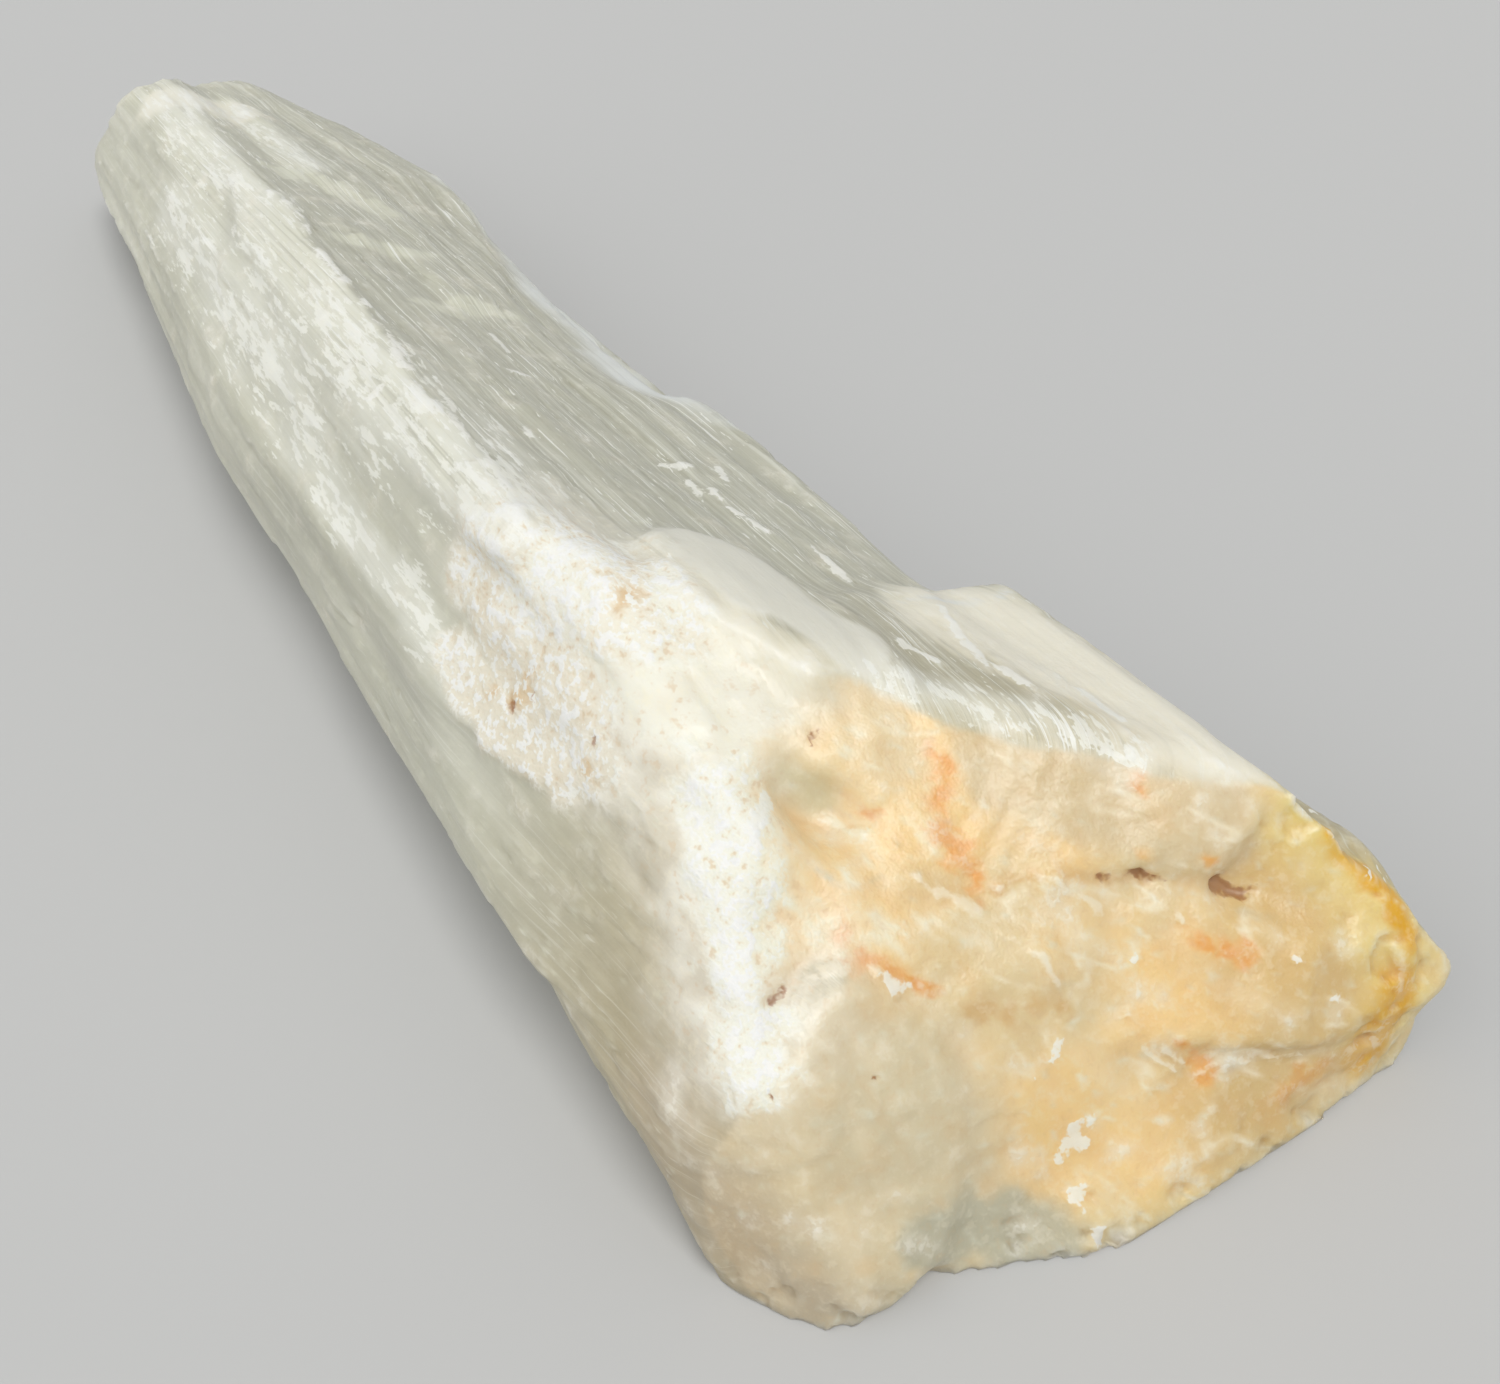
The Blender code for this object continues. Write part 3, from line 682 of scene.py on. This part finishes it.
def base_colour(f):
    """The colour at each vertex, before the shader's streaks, grains and small marks"""
    mottled = f["mottle"] - 0.5
    grained = f["grain"] - 0.5
    clear_share = rise(f["clear"] + 1.2 * (f["veils"] - 0.5), 0.3, 0.9)
    left_grey_and_shade_share = f["left"] * (0.85 - 0.4 * rise(f["veils"], 0.35, 0.6))
    warm_share = f["warm"] * (0.6 + 0.25 * rise(f["left"], 0.0, 0.6))
    pale_share = rise(f["pale"] + 0.5 * mottled, 0.05, 0.6) * (1 - 0.8 * f["broken"])
    chalk_share = rise(f["chalk"], 0.0, 0.7) * (0.45 + 0.55 * rise(f["veils"], 0.35, 0.6))
    worn_share = rise(f["ridges"], 0.03, 0.12) * (1 - 0.7 * rise(f["broken"], 0.2, 0.9))
    haze_colour = blended(DIM_HAZE, BRIGHT_HAZE, rise(f["mottle"], 0.4, 0.6))
    crust_colour = blended(DIM_CRUST, BRIGHT_CRUST, rise(f["cloud"], 0.4, 0.62))
    crust_colour = blended(crust_colour, DARK_CRUST, 0.6 * rise(f["mottle"], 0.46, 0.32))

    # The milky body, greyer where it is clear, greyer on the left partly as painted shade, and warmer
    # towards the broken end
    colour = blended(DIM_BODY, BRIGHT_BODY, rise(f["bands"], 0.3, 0.7))
    colour = layered(colour, [(CLEAR_GREY, clear_share), (LEFT_GREY_AND_SHADE, left_grey_and_shade_share)])
    colour = blended(colour, colour * WARM_TINT[:3], warm_share)
    colour = layered(colour, [
        # The stained break, and painted shade beside it
        (break_colour(f), rise(f["broken"] + 0.9 * mottled, 0.25, 0.8)),
        (FOOT_GREY, 0.85 * rise(f["foot"] + mottled, 0.1, 0.6)),
        (HOLLOW_GREY, 0.7 * rise(f["hollow"], 0.1, 0.9)),
        # Painted shade at the bottom left of the break, dark and brownish
        (PAINTED_SHADE_BROWN, 0.75 * rise(f["shade"] + 0.5 * mottled, 0.0, 0.8)),
        (YELLOW_STAIN, 0.85 * mark(f["yellow"], 0.5 * mottled, 0.0, 0.8)),
        (GOLD_STAIN, 0.95 * mark(f["gold"], 0.4 * grained + 0.4 * mottled, 0.1, 0.8)),
        (PALE_ORANGE, 0.5 * rise(f["orange"], 0.0, 0.9)),
        (ORANGE_STAIN, 0.8 * mark(f["orange"], 1.8 * grained + 1.2 * mottled, 0.3, 1.0)),
        # White haze, pale stone and chalk
        (haze_colour, 0.9 * f["haze"] * (1 - 0.55 * f["broken"])),
        (BAND_WHITE, 0.6 * rise(f["pale_bands"] + 1.2 * grained, 0.1, 0.5)),
        (PALE_STONE, 0.85 * pale_share),
        (CHALK_VEIL, 0.6 * chalk_share),
        # The crust, the crest with its painted highlight, the smooth grey step and the bluish white
        # bevel
        (crust_colour, 0.9 * f["crusty"]),
        (CREST_WHITE_AND_HIGHLIGHT, 0.9 * f["crest"]),
        (OCHRE_STAIN, 0.6 * mark(f["ochre"], 1.4 * grained, 0.15, 0.8)),
        (STEP_GREY, 0.85 * f["step"]),
        (BEVEL_WHITE, f["bevel"] * (0.6 + 0.3 * rise(f["veils"], 0.3, 0.6))),
        # Worn edges
        (WORN_WHITE, 0.5 * worn_share),
    ])
    # Painted shade: the colour is darker where the surface is hollow
    return blended(colour, colour * PAINTED_HOLLOW_SHADE[:3], 0.2 * rise(f["ridges"], -0.03, -0.12))


def add_material_fields(mesh, points, fibres, f):
    """Keeps at the vertices the colour, and where the material lays its streaks and small marks"""
    broken = f["broken"]
    chalky = (f["chalk"] > 0) & (broken < 0.5)
    grainy = np.maximum(f["crusty"], f["crest"])
    sleek = np.maximum(f["smooth"], rise(f["pale"], 0.1, 0.5))
    sleek = np.maximum(sleek, np.maximum(broken, 0.7 * f["left"]))
    silk = (1 - 0.8 * rise(sleek, 0.2, 0.8)) * (1 - grainy) * (1 - 0.7 * f["haze"]) * (1 - broken)
    flakes = np.maximum(f["flakes"], 0.8 * f["ridge_edge"])
    add_field(mesh, "place", points)
    add_field(mesh, "fibres", fibres)
    add_field(mesh, "strands", strand_places(points, fibres))
    add_field(mesh, "base_colour", base_colour(f))
    add_field(mesh, "silk", silk)
    add_field(mesh, "speckle", np.maximum(0.18 * broken, 0.4 * f["haze"]))
    add_field(mesh, "grainy", grainy)
    add_field(mesh, "rough", 0.25 + 1.3 * grainy + 0.2 * broken)
    add_field(mesh, "chalk", inside(chalky, 0.14 * f["chalk"] + 0.08 * f["flake"]))
    add_field(mesh, "veins", inside(f["veins"], f["veins"]))
    add_field(mesh, "flakes", inside(flakes, flakes))
    add_field(mesh, "brown", inside(f["brown"], f["brown"]))


def crystal_surface():
    """The visible crystal: a fine mesh with its relief, its fields and its material"""
    piece = fine_mesh(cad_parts["selenite_crystal"])
    mesh = piece.data
    edges = edges_of(mesh)
    alike = np.ones(len(edges))
    points = smoothed_places(mesh, edges)
    set_places(mesh, points)
    normals = vectors_of(mesh.vertex_normals, "vector")
    broad = evened(normals.copy(), edges, alike, BROAD_ROUNDS)
    broad /= np.linalg.norm(broad, axis=1)[:, None]
    fibres = fibre_places(points)
    f = surface_fields(points, fibres, broad)
    points = points + normals * relief(points, fibres, f)[:, None]
    points[:, 2] = np.maximum(points[:, 2], 0)
    set_places(mesh, points)

    # What is measured on the finished surface. Ridges are above 0 on edges and below 0 in hollows
    level = evened(points.copy(), edges, alike, EDGE_ROUNDS)
    f["ridges"] = np.sum((points - level) * vectors_of(mesh.vertex_normals, "vector"), axis=1)
    f["haze"] = rise(near_marks(points, HAZE) + 0.4 * (f["mottle"] - 0.5), 0.0, 0.9)
    f["cloud"] = clouds_at(points / 8, 17)
    f["warm"] = rise(points[:, 0], -5, 30)
    f["shade"] = near_marks(points, PAINTED_SHADE_PATCH)
    f["pale_bands"] = near_marks(warped(points, 2.5, 0.8, 52), BANDS)
    add_material_fields(mesh, points, fibres, f)
    mesh.polygons.foreach_set("use_smooth", [True] * len(mesh.polygons))
    mesh.materials.clear()
    mesh.materials.append(selenite())
    join_underside(mesh)
    return piece


class Nodes:
    """Short ways to add and join shader nodes"""

    def __init__(self, tree):
        self.tree = tree

    def join(self, source, socket):
        if hasattr(source, "links"):
            self.tree.links.new(source, socket)
        else:
            socket.default_value = source

    def field(self, name, output="Fac"):
        node = self.tree.nodes.new("ShaderNodeAttribute")
        node.attribute_name = name
        return node.outputs[output]

    def noise(self, vector, size, detail, roughness=0.55):
        """Noise from 0 to 1 whose waves are about so many millimetres long along each axis"""
        scaled = self.tree.nodes.new("ShaderNodeVectorMath")
        scaled.operation = "DIVIDE"
        self.join(vector, scaled.inputs[0])
        self.join(size, scaled.inputs[1])
        node = self.tree.nodes.new("ShaderNodeTexNoise")
        self.join(scaled.outputs["Vector"], node.inputs["Vector"])
        self.join(1.0, node.inputs["Scale"])
        self.join(detail, node.inputs["Detail"])
        self.join(roughness, node.inputs["Roughness"])
        return node.outputs["Fac"]

    def math(self, operation, *parts):
        """An operation on two parts, and then on its result and each further part"""
        total = parts[0]
        for part in parts[1:]:
            node = self.tree.nodes.new("ShaderNodeMath")
            node.operation = operation
            self.join(total, node.inputs[0])
            self.join(part, node.inputs[1])
            total = node.outputs[0]
        return total

    def add(self, *parts):
        return self.math("ADD", *parts)

    def times(self, *parts):
        return self.math("MULTIPLY", *parts)

    def most(self, *parts):
        return self.math("MAXIMUM", *parts)

    def rise(self, value, low, high, end=1.0):
        """From 0, below low, to end, above high, with a smooth step between"""
        node = self.tree.nodes.new("ShaderNodeMapRange")
        node.interpolation_type = "SMOOTHSTEP"
        self.join(value, node.inputs["Value"])
        self.join(low, node.inputs["From Min"])
        self.join(high, node.inputs["From Max"])
        self.join(0.0, node.inputs["To Min"])
        self.join(end, node.inputs["To Max"])
        return node.outputs["Result"]

    def layered(self, colour, layers):
        """A colour with others laid over it in turn, each by its share"""
        for other, share in layers:
            node = self.tree.nodes.new("ShaderNodeMix")
            node.data_type = "RGBA"
            self.join(share, node.inputs["Factor"])
            self.join(colour, node.inputs["A"])
            self.join(other, node.inputs["B"])
            colour = node.outputs["Result"]
        return colour


def selenite():
    """The vertices' colour, with silky streaks along the fibres, chalk, grains, small marks and
    painted glints
    """
    material = bpy.data.materials.new("selenite")
    material.use_nodes = True
    surface = material.node_tree.nodes["Principled BSDF"]
    n = Nodes(material.node_tree)
    strands = n.field("strands", "Vector")
    streaks = n.noise(strands, size=(40, 0.42, 1), detail=2, roughness=0.7)
    scratches = n.noise(strands, size=(14, 0.2, 1), detail=1)
    glints = n.noise(strands, size=(2.2, 0.3, 1), detail=2, roughness=0.6)
    flecks = n.noise(n.field("fibres", "Vector"), size=(3.0, 0.8, 0.8), detail=3, roughness=0.68)
    fine = n.noise(n.field("place", "Vector"), size=(0.75, 0.75, 0.75), detail=2, roughness=0.7)
    fined = n.add(fine, -0.5)
    silk = n.field("silk")
    speckle = n.field("speckle")
    grainy = n.field("grainy")

    # White marks and painted glints, brown specks and pale veins, whose edges the noise makes uneven
    scratches_and_glints = n.times(n.most(n.rise(scratches, 0.65, 0.69), n.rise(glints, 0.65, 0.68)), 0.8)
    chalk = n.rise(n.add(flecks, n.field("chalk")), 0.61, 0.66, end=0.6)
    chalk = n.most(chalk, n.times(n.rise(flecks, 0.71, 0.74, end=0.6), silk))
    veins = n.rise(n.add(n.field("veins"), n.times(fined, 1.2)), 0.2, 0.7, end=0.5)
    flakes = n.rise(n.add(n.field("flakes"), n.times(fined, 1.6)), 0.3, 0.55, end=0.7)
    brown = n.rise(n.add(n.field("brown"), n.times(fined, 1.4)), 0.25, 0.7, end=0.75)
    colour = n.layered(n.field("base_colour", "Vector"), [
        (PALE_STREAK, n.times(silk, n.rise(streaks, 0.5, 0.72, end=0.5))),
        (DARK_STREAK, n.times(silk, n.rise(streaks, 0.5, 0.28, end=0.5))),
        # White scratches along the fibres, and painted glints
        (SCRATCH_AND_GLINT_WHITE, n.times(silk, scratches_and_glints)),
        (PALE_SPECKLE, n.times(speckle, n.rise(fine, 0.5, 0.7))),
        (DARK_SPECKLE, n.times(speckle, n.rise(fine, 0.45, 0.27))),
        (CHALK_WHITE, chalk),
        (PALE_GRAIN, n.times(grainy, n.rise(fine, 0.5, 0.57, end=0.85))),
        # Darker stone between the grains, partly painted shade in those crevices
        (DARK_GRAIN_AND_CREVICE_SHADE, n.times(grainy, n.rise(fine, 0.38, 0.28, end=0.35))),
        (VEIN_CREAM, veins),
        (FLAKE_WHITE, flakes),
        (SPECK_BROWN, brown),
    ])
    n.join(colour, surface.inputs["Base Color"])

    white = n.most(grainy, chalk, flakes)
    roughness = n.add(LEAST_ROUGHNESS, n.times(white, 0.3), n.times(streaks, 0.2), n.times(fine, 0.1))
    n.join(roughness, surface.inputs["Roughness"])
    bump = material.node_tree.nodes.new("ShaderNodeBump")
    height = n.add(n.times(streaks, silk, 0.45), n.times(fine, n.field("rough")))
    n.join(BUMP_STRENGTH, bump.inputs["Strength"])
    n.join(BUMP_HEIGHT * MM, bump.inputs["Distance"])
    n.join(height, bump.inputs["Height"])
    n.join(bump.outputs["Normal"], surface.inputs["Normal"])

    surface.inputs["IOR"].default_value = IOR
    surface.inputs["Transmission Weight"].default_value = TRANSMISSION
    surface.inputs["Subsurface Weight"].default_value = SCATTER
    surface.inputs["Subsurface Radius"].default_value = SCATTER_BY_COLOUR
    surface.inputs["Subsurface Scale"].default_value = SCATTER_DISTANCE * MM
    return material


def camera():
    back = Vector((
        math.sin(CAMERA_AZIMUTH) * math.cos(CAMERA_HEIGHT_ANGLE),
        -math.cos(CAMERA_AZIMUTH) * math.cos(CAMERA_HEIGHT_ANGLE),
        math.sin(CAMERA_HEIGHT_ANGLE),
    ))
    data = bpy.data.cameras.new("camera")
    data.sensor_width = SENSOR
    data.lens = LENS
    data.clip_start = CLIP_START * MM
    obj = bpy.data.objects.new("camera", data)
    target = (CAMERA_TARGET + Vector(DRAWING_ORIGIN)) * MM
    obj.location = target + back * CAMERA_DISTANCE * MM
    obj.rotation_euler = (-back).to_track_quat("-Z", "Y").to_euler()
    bpy.context.scene.collection.objects.link(obj)
    bpy.context.scene.camera = obj


def soft_light(name, place, strength, spread):
    """A broad far light from the direction of a place, so that the whole floor is lit evenly"""
    data = bpy.data.lights.new(name, "SUN")
    data.energy = strength
    data.angle = math.radians(spread)
    obj = bpy.data.objects.new(name, data)
    obj.location = place
    obj.rotation_euler = (-Vector(place)).to_track_quat("-Z", "Y").to_euler()
    bpy.context.scene.collection.objects.link(obj)


def studio():
    bpy.ops.mesh.primitive_plane_add(size=FLOOR_SIZE, location=(0, 0, 0))
    floor = bpy.context.object
    floor.name = "floor"
    material = bpy.data.materials.new("pale_floor")
    material.use_nodes = True
    surface = material.node_tree.nodes["Principled BSDF"]
    surface.inputs["Base Color"].default_value = FLOOR_COLOUR
    surface.inputs["Roughness"].default_value = FLOOR_ROUGHNESS
    floor.data.materials.append(material)
    soft_light("key", KEY_PLACE, KEY_STRENGTH, KEY_SPREAD)
    soft_light("left", LEFT_PLACE, LEFT_STRENGTH, LEFT_SPREAD)
    world = bpy.data.worlds.new("world")
    bpy.context.scene.world = world
    world.use_nodes = True
    sky = world.node_tree.nodes["Background"]
    sky.inputs["Color"].default_value = SKY_COLOUR
    sky.inputs["Strength"].default_value = SKY_STRENGTH


camera()
studio()
crystal = crystal_surface()
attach(crystal, "root")
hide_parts("selenite_crystal")
bpy.context.scene.view_settings.view_transform = "Standard"
